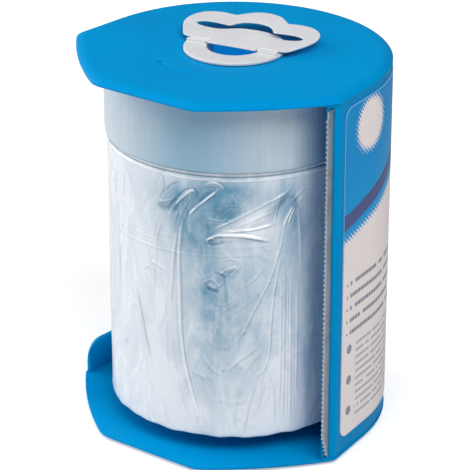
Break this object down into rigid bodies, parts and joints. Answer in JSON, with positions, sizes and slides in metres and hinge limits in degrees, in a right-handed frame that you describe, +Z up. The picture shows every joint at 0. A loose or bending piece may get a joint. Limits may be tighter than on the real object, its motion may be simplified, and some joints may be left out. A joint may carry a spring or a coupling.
{
  "type": "masking film dispenser",
  "caption": "Hand dispenser for pre-taped masking film: an open case with a toothed cutter, a film roll that turns on two hubs, and a hanger with a hinged hook tab.",
  "frame": {"origin": "on the roll's axis, on the ground under the bottom plate", "axes": "+Z up along the roll's axis, -Y out of the mouth, +X towards the cutter"},
  "size_m": [0.1106, 0.1042, 0.1395],
  "materials": {
    "case_blue": "satin moulded polypropylene",
    "blade_steel": "rolled strip",
    "label_paper": "coated printed label",
    "core_card": "wound cardboard",
    "tape_paper": "creped paper tape",
    "film_clear": "thin polyethylene film, folded and wound",
    "hanger_white": "satin moulded polypropylene"
  },
  "bodies": {
    "case": {"case_shell": "case_blue", "cutter_blade": "blade_steel", "wall_label": "label_paper"},
    "roll": {"roll_core": "core_card", "tape_winding": "tape_paper", "film_winding": "film_clear"},
    "hanger": {"hanger_ring": "hanger_white"},
    "tab": {"hang_tab": "hanger_white"}
  },
  "joints": [
    {"name": "roll_spin", "type": "hinge", "parent": "case", "child": "roll", "pos_m": [0, 0, 0.0085], "axis": [0, 0, 1], "continuous": true},
    {"name": "hanger_swivel", "type": "hinge", "parent": "case", "child": "hanger", "pos_m": [0, 0, 0.1343], "axis": [0, 0, 1], "continuous": true},
    {"name": "tab_hinge", "type": "hinge", "parent": "hanger", "child": "tab", "pos_m": [0.00017, -0.00109, 0.13595], "axis": [0.9885, 0.1513, 0], "range_deg": [0, 95]}
  ]
}
